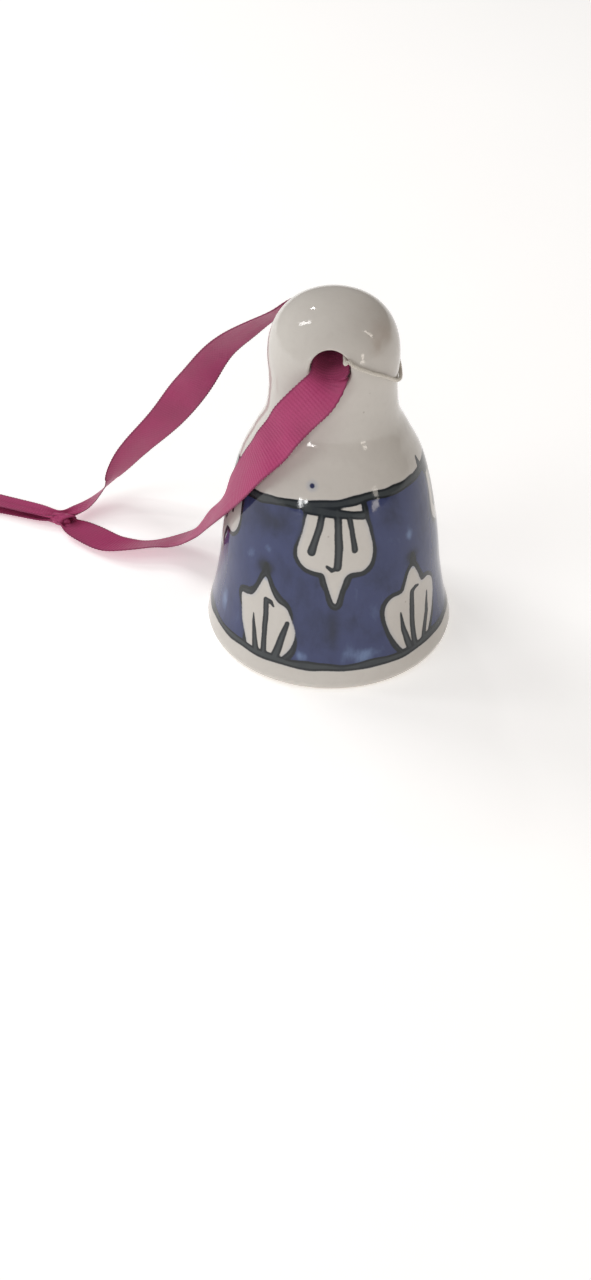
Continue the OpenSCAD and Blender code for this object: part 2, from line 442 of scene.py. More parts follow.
def strand_rows(route):
    """Close rows along a route: as given inside the bell, softer outside, softest where it hangs free."""
    rows = spaced(smooth_curve(route, 20), ROW_SPACING)
    soft, softer = calmed(rows, 26), calmed(rows, 70)
    index = np.arange(len(rows))
    far = np.clip((index - FREE_ROWS) / 100, 0, 1)
    between = far * np.clip((len(rows) - KNOT_ROWS - index) / 80, 0, 1)
    soft[:, :3] += (softer[:, :3] - soft[:, :3]) * between[:, None]
    soft[:, 3] += (softer[:, 3] - soft[:, 3]) * far
    rows = np.concatenate([rows[:STIFF_ROWS], soft[STIFF_ROWS:]])
    rows[:, 4] += BORE_EXTRA * np.clip((STIFF_ROWS + 45 - index) / 30, 0, 1)
    return rows


def strand_mesh(route, seed):
    """A thin ribbon along a route. Where it is narrower than it was woven, it lies in pleats."""
    rows = strand_rows(route)
    place, side, up = strand_frames(rows)
    along = run_length(place)
    count = 21
    share = np.linspace(-1, 1, count)
    width, bow = rows[:, 4], rows[:, 5]
    pleat_depth = np.clip((PLEAT_BELOW - width) / 3.6, 0, 1) * 0.75
    middle = place[:, None] + side[:, None] * (share[:, None] * width[:, None, None] / 2)
    lift = bow[:, None] * (share**2 - 0.5)
    lift = lift + pleat_depth[:, None] * np.sin(share * math.pi * 2.2 + seed)
    ripple = [[noise.noise(Vector((s * 0.075, h * 0.7, seed * 7.3))) for h in share] for s in along]
    free = np.clip((along - 12) / 6, 0, 1)[:, None]
    lift = lift + 0.18 * free * np.array(ripple)
    weft = np.sin(along * 2 * math.pi / WEFT_PITCH)[:, None] * (np.abs(share) < 0.92)
    lift = lift + 0.01 * weft
    picot = 0.05 * np.sin(along * 2 * math.pi / PICOT_PITCH)[:, None]
    picot = picot * (np.abs(share) > 0.95) * np.sign(share)
    middle = middle + up[:, None] * lift[:, :, None] + side[:, None] * picot[:, :, None]
    thick = RIBBON_T / 2 * (1 + 0.6 * np.clip((np.abs(share) - 0.88) / 0.06, 0, 1))
    thick[[0, -1]] *= 0.55
    upper = middle + up[:, None] * thick[:, None]
    lower = middle - up[:, None] * thick[:, None]
    rings = np.concatenate([upper, lower[:, ::-1]], axis=1)
    both_sides = np.concatenate([share, share[::-1]]) * RIBBON_W / 2
    attributes = {"along": np.repeat(along, 2 * count), "across": np.tile(both_sides, len(rows))}
    return rings.reshape(-1, 3), flat_faces(len(rows), count), attributes, along[-1], place


def make_strand(name, route, node, seed):
    verts, faces, attributes, length, line = strand_mesh(route, seed)
    piece = add_piece(name, verts, faces, satin, "bell", [node], attributes)
    return piece, length, line


front_strand, front_length, front_line = make_strand(
    "ribbon_front_strand", FRONT_ROUTE, "ribbon_front", 1.0
)
back_strand, back_length, back_line = make_strand("ribbon_back_strand", BACK_ROUTE, "ribbon_back", 2.4)


def make_knot():
    """The upper strand wound once round the pinched strands, over a pleated core."""
    turns = np.radians(np.linspace(-75, 350, 170))
    count = 19
    share = np.linspace(-1, 1, count)
    grow = np.linspace(0, 0.22, len(turns))
    spread = 1.7 + 0.7 * np.clip(np.cos(turns - 0.9), 0, 1) ** 2
    turn = math.radians(KNOT_TURN_DEG)
    ahead = np.array([math.cos(turn), math.sin(turn), 0])
    side = np.array([-math.sin(turn), math.cos(turn), 0])
    up = np.array([0, 0, 1.0])
    rings = []
    for a, g, w in zip(turns, grow, spread):
        open_up = max(math.cos(a - 1.0), 0)
        flare = 0.32 * share * open_up - (0.7 - 0.35 * open_up) * np.abs(share) ** 3
        crease = 0.1 * np.cos(share * math.pi * 2.3 + 0.5 + 0.6 * math.sin(a)) + flare
        across_r = 1.3 + g + crease
        across_z = 1.08 + g + crease * 0.75
        lean = 0.7 * math.cos(a) + 0.5
        middle = (
            KNOT_AT
            + ahead * (share * w + lean)[:, None]
            + side * (across_r * math.cos(a))[:, None]
            + up * (across_z * math.sin(a))[:, None]
        )
        out = side * math.cos(a) + up * math.sin(a)
        rings.append(np.concatenate([middle + out * RIBBON_T / 2, (middle - out * RIBBON_T / 2)[::-1]]))
    across = np.concatenate([share, share[::-1]]) * RIBBON_W / 2
    run = np.linspace(-1, 1, 30)
    core_sides = 20
    core_line = KNOT_AT + ahead * (run * 1.9 + 0.6)[:, None] - up * 0.15
    core = tube(core_line, 0.98 * np.sqrt(1.02 - run**2), core_sides)
    verts, faces = joined([(np.concatenate(rings), flat_faces(len(rings), count)), core])
    attributes = {
        "along": np.concatenate([np.repeat(turns * 1.6, 2 * count), np.repeat(run * 2, core_sides)]),
        "across": np.concatenate([np.tile(across, len(rings)), np.zeros(len(core[0]))]),
    }
    return add_piece("ribbon_knot_wrap", verts, faces, satin, "bell", ["ribbon_knot"], attributes)


knot = make_knot()


# ---------------------------------------------------------------- shape of the body
WALL = 2.8
KNOB_R = 11.1
WAIST_R = 10.9
KNOB_Z = 54.5
DOME_POWER = 2.4
HOLE_R = 3.3
# From the rim to the knob's widest level: height, radius
BELL_OUTLINE = [
    [1.2, mouth_r],
    [3.0, mouth_r - 0.4],
    [6.5, mouth_r - 1.4],
    [13, mouth_r - 2.6],
    [21, mouth_r - 3.6],
    [29, mouth_r - 5.1],
    [35.5, mouth_r - 7],
    [40.5, (mouth_r - 7 + WAIST_R) / 2],
    [44.5, WAIST_R + 0.6],
    [49.5, WAIST_R],
    [KNOB_Z, KNOB_R],
]
body_curve = smooth_curve(BELL_OUTLINE, 16)


def dome_points(inset):
    """The knob's top as radius and height, from its widest level to the pole."""
    angles = np.linspace(0, math.pi / 2, 90)
    share = np.sin(angles)
    radius = (KNOB_R - inset) * np.power(np.maximum(1 - share**DOME_POWER, 0), 1 / DOME_POWER)
    return np.stack([radius, KNOB_Z + (bell_h - KNOB_Z - inset) * share], axis=1)


def side_points(inset):
    """Radius and height from the rim to the pole."""
    lower = np.stack([body_curve[:, 1] - inset, body_curve[:, 0]], axis=1)
    return np.concatenate([lower, dome_points(inset)[1:]])


outer_side = side_points(0)
outer_run = run_length(outer_side)


def outer_r(z):
    return np.interp(z, outer_side[:, 1], outer_side[:, 0])


def outer_height(z):
    """How far up the outside a height is, along the surface."""
    return np.interp(z, outer_side[:, 1], outer_run)


COLUMNS = 240
BAND_COLUMNS = 480  # the painted band is finer
HOLE_HALF = 20  # columns cut open on each side of a hole's middle
HOLE_ROWS = 30
HOLE_LOW, HOLE_HIGH = 52.8, 61.7
HOLE_LOW_IN, HOLE_HIGH_IN = 53.2, 61.3
BAND_LOW, BAND_HIGH = 3.0, 38.6
RIM_ROUND = 0.8
RIM_IN = 0.1  # how far the rim draws in below the widest level
RIM_TOP = 1.2
FOOT_ROUND = 0.6  # inner edge of the foot
LIP = 0.55  # rounding of the holes' edges


def stretch(side, start, end, count):
    """Evenly spaced points of a side outline between two heights, without the last one."""
    along = run_length(side)
    from_run, to_run = (np.interp(z, side[:, 1], along) for z in (start, end))
    at = np.linspace(from_run, to_run, count + 1)[:-1]
    return np.stack([np.interp(at, along, side[:, k]) for k in range(2)], axis=1)


def arc(centre, radius, from_deg, to_deg, count):
    """Points of an arc in the section, without the last one."""
    angles = np.radians(np.linspace(from_deg, to_deg, count + 1)[:-1])
    return np.stack([centre[0] + radius * np.cos(angles), centre[1] + radius * np.sin(angles)], axis=1)


def body_profile():
    """Stretches of the whole section, from the outer pole over the rim to the inner pole."""
    inner = side_points(WALL)
    inner_top = bell_h - WALL
    inner_r = inner[0, 0]
    rim_r, foot_r = mouth_r - RIM_IN, inner_r + FOOT_ROUND
    return [
        stretch(outer_side, bell_h - 0.004, HOLE_HIGH, 20),
        stretch(outer_side, HOLE_HIGH, HOLE_LOW, HOLE_ROWS),
        stretch(outer_side, HOLE_LOW, BAND_HIGH, 24),
        stretch(outer_side, BAND_HIGH, BAND_LOW, 118),
        stretch(outer_side, BAND_LOW, RIM_TOP, 6),
        stretch(np.array([[rim_r, RIM_ROUND], [mouth_r, RIM_TOP]]), RIM_TOP, RIM_ROUND, 2),
        arc((rim_r - RIM_ROUND, RIM_ROUND), RIM_ROUND, 0, -90, 6),
        np.stack([np.linspace(rim_r - RIM_ROUND, foot_r, 4)[:-1], np.zeros(3)], axis=1),
        arc((foot_r, FOOT_ROUND), FOOT_ROUND, -90, -180, 5),
        stretch(np.array([[inner_r, FOOT_ROUND], [inner_r, RIM_TOP]]), FOOT_ROUND, RIM_TOP, 1),
        stretch(inner, RIM_TOP, HOLE_LOW_IN, 30),
        stretch(inner, HOLE_LOW_IN, HOLE_HIGH_IN, HOLE_ROWS),
        stretch(inner, HOLE_HIGH_IN, inner_top - 0.004, 9),
    ]


OUTER_HOLE_STRETCH, BAND_STRETCH, INNER_HOLE_STRETCH = 1, 3, 11


def hand_made(points):
    """Small unevenness of the cast body: a slightly oval section and soft dents."""
    radius = np.hypot(points[:, 0], points[:, 1])
    angle = np.arctan2(points[:, 1], points[:, 0])
    calm = np.clip((52 - points[:, 2]) / 12, 0.25, 1) * np.clip(points[:, 2] / 4, 0, 1)
    round_it = zip(1.6 * np.cos(angle), 1.6 * np.sin(angle), points[:, 2] * 0.055)
    soft = np.array([noise.noise(Vector(place)) for place in round_it])
    change = (0.08 * np.cos(2 * angle + 0.7) + 0.16 * soft) * calm
    factor = 1 + change / np.maximum(radius, 4)
    return points * np.stack([factor, factor, np.ones_like(factor)], axis=1)


def body_rows():
    """Rows of points round the body, each row's first index, and the rows that the holes cut."""
    parts = body_profile()
    counts = [BAND_COLUMNS if i == BAND_STRETCH else COLUMNS for i, part in enumerate(parts) for _ in part]
    starts = np.cumsum([0] + [len(part) for part in parts])
    rows, first = [], [0]
    for (radius, z), count in zip(np.concatenate(parts), counts):
        angles = np.arange(count) * 2 * math.pi / count
        level = np.full(count, z)
        rows.append(np.stack([radius * np.sin(angles), -radius * np.cos(angles), level], axis=1))
        first.append(first[-1] + count)
    spans = [(starts[i], starts[i + 1]) for i in (OUTER_HOLE_STRETCH, INNER_HOLE_STRETCH)]
    return np.concatenate(rows), counts, first, spans


def row_faces(upper, lower, upper_count, lower_count, skipped):
    """Faces between two rows of as many points, or of which one has twice as many."""
    faces = []
    step_up, step_low = max(1, upper_count // lower_count), max(1, lower_count // upper_count)
    for k in range(min(upper_count, lower_count)):
        if k in skipped:
            continue
        top = [upper + (k * step_up + m) % upper_count for m in range(step_up + 1)]
        low = [lower + (k * step_low + m) % lower_count for m in range(step_low + 1)]
        faces.append((top[0], *low, *reversed(top[1:])))
    return faces


def body_mesh():
    """The cast body as one closed mesh, with rounded edges round both ribbon holes."""
    points, counts, first, spans = body_rows()
    faces = []
    cut = {(middle + k) % COLUMNS for middle in (0, COLUMNS // 2) for k in range(-HOLE_HALF, HOLE_HALF)}
    for i in range(len(counts) - 1):
        in_hole = any(low <= i < high for low, high in spans)
        faces += row_faces(first[i], first[i + 1], counts[i], counts[i + 1], cut if in_hole else ())
    outer_pole, inner_pole = len(points), len(points) + 1
    last = first[len(counts) - 1]
    for k in range(COLUMNS):
        faces.append((outer_pole, k, (k + 1) % COLUMNS))
        faces.append((inner_pole, last + (k + 1) % COLUMNS, last + k))
    verts = [points, np.array([[0, 0, bell_h], [0, 0, bell_h - WALL]])]
    base = len(points) + 2

    def opening(span, middle):
        """Indices round an opening, in order of their direction from the hole's middle."""
        low, high = span
        left, right = middle - HOLE_HALF, middle + HOLE_HALF
        ring = [(low, k) for k in range(left, right)]
        ring += [(i, right) for i in range(low, high)]
        ring += [(high, k) for k in range(right, left, -1)]
        ring += [(i, left) for i in range(high, low, -1)]
        indices = np.array([first[i] + k % COLUMNS for i, k in ring])
        edge = points[indices]
        return indices[np.argsort(np.arctan2(edge[:, 2] - HOLE_Z, edge[:, 0]))]

    def depth(side, xz):
        radius = np.interp(xz[:, 1], side[:, 1], side[:, 0])
        return np.sqrt(np.maximum(radius**2 - xz[:, 0] ** 2, 0))

    inner_side = side_points(WALL)
    for middle, sign in ((0, -1), (COLUMNS // 2, 1)):
        outside, inside = (opening(span, middle) for span in spans)
        start = points[outside][:, [0, 2]]
        phi = np.arctan2(start[:, 1] - HOLE_Z, start[:, 0])
        circle = np.stack([np.cos(phi), np.sin(phi)], axis=1)
        centre = np.array([0, HOLE_Z])
        lip, bore = centre + circle * (HOLE_R + LIP), centre + circle * HOLE_R
        rings = []
        for t in np.linspace(0, 1, 8)[1:]:
            xz = start * (1 - t) + lip * t
            rings.append((xz, depth(outer_side, xz)))
        lip_y, mouth_y, back_y = rings[-1][1], depth(outer_side, bore), depth(inner_side, bore)
        for t in np.linspace(0, 1, 7)[1:]:
            xz = lip * (1 - t) ** 2 + bore * (1 - (1 - t) ** 2)
            rings.append((xz, lip_y * (1 - t) ** 2 + mouth_y * 2 * t * (1 - t) + (mouth_y - LIP) * t**2))
        for t in (0.35, 0.7, 1):
            rings.append((bore, (mouth_y - LIP) * (1 - t) + (back_y + 0.3) * t))
        back = centre + circle * (HOLE_R + 0.25)
        rings.append((back, depth(inner_side, back)))
        goal = points[inside][:, [0, 2]]
        for t in (0.33, 0.67):
            xz = back * (1 - t) + goal * t
            rings.append((xz, depth(inner_side, xz)))
        previous = list(outside)
        for xz, y in rings:
            verts.append(np.stack([xz[:, 0], sign * y, xz[:, 1]], axis=1))
            ring = list(range(base, base + len(xz)))
            base += len(xz)
            add_band(faces, previous, ring, sign)
            previous = ring
        add_band(faces, previous, list(inside), sign)
    return np.concatenate(verts), faces


def add_band(faces, ring, following, sign):
    """Quads between two rings of as many points, wound so that they face out of the wall."""
    count = len(ring)
    for k in range(count):
        a, b = ring[k], ring[(k + 1) % count]
        c, d = following[(k + 1) % count], following[k]
        faces.append((a, b, c, d) if sign < 0 else (d, c, b, a))


# ---------------------------------------------------------------- painting on the body
# Points on the body are degrees from the front, positive to the right, and height. Petals and their
# strokes are in degrees from the petal's own axis. Strokes end with a width at each point.
BAND_TOP = [
    [-180, 35.4], [-120, 34.8], [-85, 34.2], [-54, 34], [-41, 34.7], [-28, 35.3], [-8, 36], [8, 36.3],
    [24, 36.9], [44, 36.8], [65, 36.3], [76, 36.5], [110, 35.8], [150, 35.2], [180, 35.4],
]
BAND_TOP_W = 1.6
BAND_BOTTOM = 3.9
BAND_BOTTOM_W = 1.5

UPPER_PETAL = [
    [-16.5, 34], [-18.5, 31], [-20.5, 28.4], [-21.2, 27], [-20, 25.5], [-16.5, 24.2], [-12, 23.6],
    [-7, 23.3], [-5.5, 22.6], [-3.5, 20.3], [0, 17.2], [3.2, 20.6], [5.3, 22.6], [8.5, 23.3],
    [14, 23.4], [18, 24.4], [20.2, 26], [20.5, 28.2], [19, 31], [16, 33.8], [15, 35.6], [10, 35.5],
    [3, 35.2], [-6, 34.6],
]
UPPER_STROKES = [
    [[-7.5, 34.4, 1.1], [-9.3, 31.4, 1.3], [-11.5, 28.8, 1.3], [-13, 27.1, 1.5]],
    [[1, 34.4, 1.3], [1.6, 31, 1.3], [1.8, 28, 1.5], [1, 24.4, 1.4]],
    [[0.8, 24.3, 0.9], [-1.8, 23.9, 0.8], [-4.4, 24.6, 0.6]],
    [[7.3, 33.6, 1.0], [9, 31, 0.9], [10.3, 27.4, 1.1]],
]
LEFT_PETAL = [
    [-8, 5], [-12, 8], [-14.5, 11], [-16.2, 14.2], [-12.5, 14.7], [-8.5, 15.3], [-5.5, 17], [-1, 20.2],
    [2.5, 18.4], [5, 16.9], [8, 15.9], [12.5, 15.2], [15.5, 13], [17.6, 10.3], [16, 7.6], [11, 5],
]
LEFT_STROKES = [
    [[-6.5, 11.8, 0.3], [-5.6, 9.8, 0.8], [-4, 7, 1.2], [-2.5, 4.8, 1.6]],
    [[5, 14.9, 0.5], [3.4, 15.6, 0.9], [0.6, 15.6, 1.2], [1, 12, 1.2], [1.4, 8, 1.1], [2, 4.8, 1.3]],
    [[13.2, 12.3, 0.9], [11, 9.4, 1.3], [8, 5, 1.7]],
]
RIGHT_PETAL = [
    [-10.5, 5.2], [-15, 8], [-18.2, 11], [-19.3, 13.7], [-17.8, 15.6], [-14, 16.5], [-8, 16.7],
    [-5.6, 18.4], [-3.4, 20], [0.4, 20.8], [3.6, 19], [6.6, 16.7], [9.5, 16.4], [13, 16.3],
    [17.5, 15], [18.2, 12.8], [16, 10], [12.5, 7.6], [7.5, 5.2],
]
RIGHT_STROKES = [
    [[-9.5, 12.6, 0.4], [-8.6, 9, 1.2], [-6, 5.2, 1.6]],
    [[4, 16.1, 0.5], [1.6, 16.2, 0.9], [-1, 15.7, 1.2], [-2, 12, 1.3], [-2.6, 8, 1.3], [-2.5, 5, 1.4]],
    [[11.3, 13.2, 0.5], [9.5, 9.5, 1.2], [4, 5.2, 1.3]],
]
# Where an outline is heavier or fades: degrees, height, reach in mm, change of its half width in mm
UPPER_HEAVY = [
    [-5, 21.6, 1.3, 0.3], [4.6, 21.6, 1.3, 0.3], [0, 17.4, 1.4, 0.3], [-1.5, 19, 1.2, 0.15],
    [1.5, 19, 1.2, 0.15], [-19, 31, 3.0, -0.28], [20.3, 28.5, 2.2, -0.12], [16.5, 34, 1.2, 0.35],
]
LEFT_HEAVY = [
    [-12.5, 15.4, 1.9, 0.5], [-15, 9, 3.6, -0.5], [7.5, 16.6, 2.2, 0.4], [16.8, 11.6, 2.3, -0.5],
    [13.5, 6.4, 1.9, 0.4], [-1, 20, 1.3, 0.35], [-9, 5.4, 1.4, 0.3],
]
RIGHT_HEAVY = [
    [-18, 14.5, 3.0, 0.18], [-10.5, 6.4, 2.0, 0.3], [18, 12.5, 3.2, -0.4], [0.4, 20.6, 1.3, 0.3],
    [8, 16.6, 1.6, 0.25], [-13, 8, 2.0, 0.1],
]
UPPER_AXES = [6, -78, 99, 188]
LOWER_AXES = [(-31, LEFT_PETAL, LEFT_STROKES, LEFT_HEAVY), (51, RIGHT_PETAL, RIGHT_STROKES, RIGHT_HEAVY)]
LOWER_AXES += [(139, LEFT_PETAL, LEFT_STROKES, LEFT_HEAVY), (-124, RIGHT_PETAL, RIGHT_STROKES, RIGHT_HEAVY)]
UPPER_BAR = [[-17.5, 34.4, 1.7], [-8, 34.3, 1.9], [0, 34, 1.8], [9, 33.6, 1.4], [16, 33.3, 1.6]]

# Soft lights and darks in the cobalt: degrees, height, reach across and up in mm, strength
WASHES = [
    [5, 12, 1.3, 5.0, -1.1], [22, 6.5, 3, 1.6, 1.5], [13, 8, 1.6, 3.2, 0.7], [-62, 9.5, 1.6, 3, 1.5],
    [-50, 8, 2.0, 3, 0.5], [-31.5, 19.9, 0.75, 0.7, 1.6], [51.4, 20.6, 0.75, 0.6, 1.3],
    [51, 27, 1.0, 1.1, 1.3], [-32.5, 22, 1.7, 1.3, -2.2], [51, 22.8, 1.5, 1.2, -1.8],
    [-32, 25.5, 1.1, 1.2, 0.9], [-30, 30.6, 3.2, 2.2, -1.1], [-42, 33, 3, 2, -0.5],
    [-10, 6.3, 1.6, 1.3, 1.2], [33, 22, 2.2, 4.5, -0.4], [26, 15, 1.8, 4, 0.8], [-9, 15, 2.5, 4, -0.3],
    [36, 8, 1.6, 3, 0.6], [-45, 24, 2.4, 5, 0.35], [62, 18, 2, 5, 0.3], [-19, 22, 1.6, 4, -0.5],
    [40, 32, 2.5, 2, -0.4], [100, 10, 3, 3, 0.8], [150, 24, 2, 2, 0.9], [-150, 8, 3, 3, 0.8],
    [-110, 26, 2, 2, 1.0], [170, 8, 2, 5, -0.9], [120, 30, 3, 2, -0.8], [-165, 20, 3, 5, -0.5],
    [90, 22, 2, 4, 0.5],
]
BLUE_DOT = (-9.5, 38.1, 0.42)
TICK_AXIS = 76
TICK = [[0, 36.2, 1.7], [0.6, 37.6, 0.7]]
# The soft dark stroke over a lower petal's tip, from the tip: degrees, height, width
TIP_CAP = [[-0.3, -0.2, 1.7], [0.2, 0.9, 1.9], [0, 2.2, 1.0]]
# Brown stains in the glaze: degrees, height, reach in mm
STAINS = [[62, 61.5, 3.0], [46, 60, 1.2], [70, 55, 2.5], [-150, 50, 3]]


def wrapped(degrees):
    return (degrees + 180) % 360 - 180


def across_from(axis, degrees, z):
    """How far across from an axis each place is, in mm along the surface."""
    return wrapped(degrees - axis) * math.pi / 180 * outer_r(z)


def segments(points):
    """Starts and ends of the straight pieces between points."""
    return points[:-1], points[1:]


def nearest_on(x, y, start, end):
    """Distance to one straight piece, and the share along it of the nearest point."""
    dx, dy = end[0] - start[0], end[1] - start[1]
    share = np.clip(((x - start[0]) * dx + (y - start[1]) * dy) / max(dx * dx + dy * dy, 1e-9), 0, 1)
    return np.hypot(x - start[0] - share * dx, y - start[1] - share * dy), share


def inside_depth(x, y, outline):
    """How far inside a closed outline each point is, negative outside."""
    closed = np.concatenate([outline, outline[:1]])
    distance = np.full(len(x), 1e3)
    inside = np.zeros(len(x), bool)
    for start, end in zip(*segments(closed)):
        distance = np.minimum(distance, nearest_on(x, y, start, end)[0])
        crosses = (start[1] > y) != (end[1] > y)
        rise = end[1] - start[1] or 1
        at = start[0] + (y - start[1]) * (end[0] - start[0]) / rise
        inside ^= crosses & (x < at)
    return np.where(inside, distance, -distance)


def stroke_depth(x, y, line):
    """How far inside a brush stroke each point is. The line holds places and widths."""
    depth = np.full(len(x), -1e3)
    for start, end in zip(*segments(line)):
        distance, share = nearest_on(x, y, start[:2], end[:2])
        depth = np.maximum(depth, (start[2] * (1 - share) + end[2] * share) / 2 - distance)
    return depth


def on_body(rows):
    """Rows of degrees from an axis, height and perhaps width, as flat places."""
    rows = np.array(rows, float)
    across = rows[:, 0] * math.pi / 180 * outer_r(rows[:, 1])
    flat = [across, outer_height(rows[:, 1])]
    if rows.shape[1] == 3:
        flat.append(rows[:, 2])
    return np.stack(flat, axis=1)


def painting(degrees, z):
    """Depth inside the cobalt wash, depth inside the dark lines, and lights and darks, at each point."""
    up = outer_height(z)
    wobble = np.array([noise.noise(Vector((d * 0.09, h * 0.35, 3.0))) for d, h in zip(degrees, z)])
    thick = np.array([noise.noise(Vector((d * 0.06, h * 0.2, 9.0))) for d, h in zip(degrees, z)])
    top = outer_height(np.interp(degrees, *np.array(BAND_TOP).T)) + 0.25 * wobble
    bottom = outer_height(BAND_BOTTOM) + 0.3 * wobble
    cobalt = np.minimum(top - 0.5 - up, up - bottom - 0.5)
    top_w = BAND_TOP_W * (1 + 0.25 * thick)
    bottom_w = BAND_BOTTOM_W * (1 + 0.3 * thick)
    ink = top_w / 2 - np.abs(up - top + top_w / 2)
    ink = np.maximum(ink, bottom_w / 2 - np.abs(up - bottom - bottom_w / 2))
    petals = [(axis, UPPER_PETAL, UPPER_STROKES + [UPPER_BAR], UPPER_HEAVY, -1) for axis in UPPER_AXES]
    petals += [(*lower, 1) for lower in LOWER_AXES]
    for axis, outline, strokes, heavy, tip_up in petals:
        near = np.abs(wrapped(degrees - axis)) < 34
        x = across_from(axis, degrees[near], z[near]) + 0.12 * wobble[near]
        y = up[near] + 0.12 * thick[near]
        edge = smooth_curve(on_body(outline), 4)
        inside = inside_depth(x, y, edge)
        cobalt[near] = np.minimum(cobalt[near], -inside - 0.05)
        line_w = 0.36 + 0.12 * thick[near]
        for spot, (_, _, reach, change) in zip(on_body([row[:2] for row in heavy]), heavy):
            line_w = line_w + change * np.exp(-((x - spot[0]) ** 2 + (y - spot[1]) ** 2) / reach**2)
        lines = np.minimum(np.minimum(0.06 - inside, (inside + 2.1 * line_w) * 0.5), 0.45)
        if tip_up > 0:
            tip = np.array([*max(outline, key=lambda row: row[1]), 0])
            cap = tip + np.array(TIP_CAP)
            cap_depth = np.minimum(stroke_depth(x, y, on_body(cap)) * 0.4, -inside)
            lines = np.maximum(lines, cap_depth)
        for stroke in strokes:
            lines = np.maximum(lines, stroke_depth(x, y, on_body(stroke)))
        ink[near] = np.maximum(ink[near], lines)
    ink = np.maximum(ink, stroke_depth(across_from(TICK_AXIS, degrees, z), up, on_body(TICK)))
    x = across_from(BLUE_DOT[0], degrees, z)
    dot = BLUE_DOT[2] - np.hypot(x, up - outer_height(BLUE_DOT[1]))
    light = np.zeros(len(z))
    for axis, height, across, tall, strength in WASHES:
        x = across_from(axis, degrees, z)
        light += strength * np.exp(-((x / across) ** 2) - ((up - outer_height(height)) / tall) ** 2)
    return cobalt, ink, light, dot


def porcelain_material():
    n = Nodes("painted_porcelain")
    place = n.position()
    cobalt, ink, light = n.attribute("cobalt"), n.attribute("ink"), n.attribute("light")
    dot, bare, smudge = n.attribute("dot"), n.attribute("bare"), n.attribute("smudge")
    fine = n.noise(place, 2.2, 3)
    brush = n.noise(n.stretched(place, (0.5, 0.5, 0.2)), 0.5, 4, 0.6, 0.6)
    cloud = n.noise(place, 0.16, 4, 0.55, 0.8)
    grain = n.noise(place, 0.9, 4)

    white = n.mix(cloud, (0.60, 0.565, 0.525), (0.66, 0.63, 0.585))
    white = n.mix(n.ramp(grain, 0.45, 0.8, 0, 0.25), white, (0.56, 0.525, 0.485))
    white = n.mix(n.math("MULTIPLY", smudge, n.ramp(cloud, 0.3, 0.6)), white, (0.42, 0.33, 0.27))
    speck = n.math("MULTIPLY", n.ramp(n.cells(place, 0.2), 0.02, 0.05, 1, 0), 0.4)
    white = n.mix(speck, white, (0.25, 0.19, 0.15))

    tone = n.math("ADD", n.math("MULTIPLY", light, 0.4), n.math("MULTIPLY", brush, 0.9))
    tone = n.math("ADD", tone, n.math("MULTIPLY", cloud, 0.7))
    blue = n.mix(n.ramp(tone, 0.3, 0.95), (0.024, 0.031, 0.074), (0.047, 0.06, 0.152))
    blue = n.mix(n.ramp(tone, 0.95, 1.55), blue, (0.16, 0.23, 0.40))

    edge = n.math("ADD", cobalt, n.math("MULTIPLY", n.math("SUBTRACT", fine, 0.5), 0.2))
    wash = n.ramp(edge, -0.2, 0.12)
    halo = n.math("ADD", n.ramp(edge, -0.9, -0.1, 0, 0.16), n.ramp(light, 0.5, 1.4, 0, 0.45))
    colour = n.mix(halo, white, (0.20, 0.27, 0.42))
    colour = n.mix(wash, colour, blue)
    shade = n.ramp(edge, 0.1, 1.1, 0.4, 0)
    colour = n.mix(n.math("MULTIPLY", shade, wash), colour, (0.022, 0.028, 0.045))
    deep = n.math("MULTIPLY", n.ramp(light, -1.9, -0.5, 0.85, 0), wash)
    colour = n.mix(deep, colour, (0.022, 0.027, 0.036))

    core = n.ramp(ink, 0.24, 0.58)
    dark = n.mix(core, (0.016, 0.02, 0.023), (0.052, 0.06, 0.064))
    dark = n.mix(n.ramp(brush, 0.45, 0.7, 0, 0.4), dark, (0.022, 0.027, 0.04))
    line = n.ramp(n.math("ADD", ink, n.math("MULTIPLY", n.math("SUBTRACT", fine, 0.5), 0.1)), -0.09, 0.09)
    colour = n.mix(line, colour, dark)
    colour = n.mix(n.ramp(dot, -1.0, 0.1, 0, 0.5), colour, (0.36, 0.4, 0.5))
    colour = n.mix(n.ramp(dot, -0.15, 0.1), colour, (0.035, 0.04, 0.1))

    clay = n.mix(grain, (0.5, 0.42, 0.33), (0.62, 0.55, 0.45))
    colour = n.mix(bare, colour, clay)
    rough = n.ramp(bare, 0, 1, 0.07, 0.85)
    waves = n.bump(n.noise(place, 0.3, 2), 0.14, 0.4)
    normal = n.bump(n.noise(place, 2.6, 2), 0.014, 0.5, waves)
    return n.finish(colour, rough, normal, Specular_IOR_Level=0.45)


def make_body():
    verts, faces = body_mesh()
    verts = hand_made(verts)
    degrees = np.degrees(np.arctan2(verts[:, 0], -verts[:, 1]))
    radius = np.hypot(verts[:, 0], verts[:, 1])
    outside = radius > outer_r(verts[:, 2]) - 0.9
    foot = verts[:, 2] < 0.45
    band = outside & (verts[:, 2] < 41) & ~foot
    far = -9.0
    cobalt, ink, dot = (np.full(len(verts), far) for _ in range(3))
    light = np.zeros(len(verts))
    cobalt[band], ink[band], light[band], dot[band] = painting(degrees[band], verts[band, 2])
    bare = np.clip((0.3 - verts[:, 2]) / 0.2, 0, 1)
    smudge = np.zeros(len(verts))
    for axis, height, reach in STAINS:
        x = wrapped(degrees - axis) * math.pi / 180 * radius
        smudge += 0.42 * np.exp(-(x**2 + (verts[:, 2] - height) ** 2) / reach**2) * outside
    return add_piece(
        "bell_body_painted", verts, faces, porcelain_material(), "bell", ["bell_body"],
        {"cobalt": cobalt, "ink": ink, "light": light, "dot": dot, "bare": bare, "smudge": smudge},
    )


make_body()


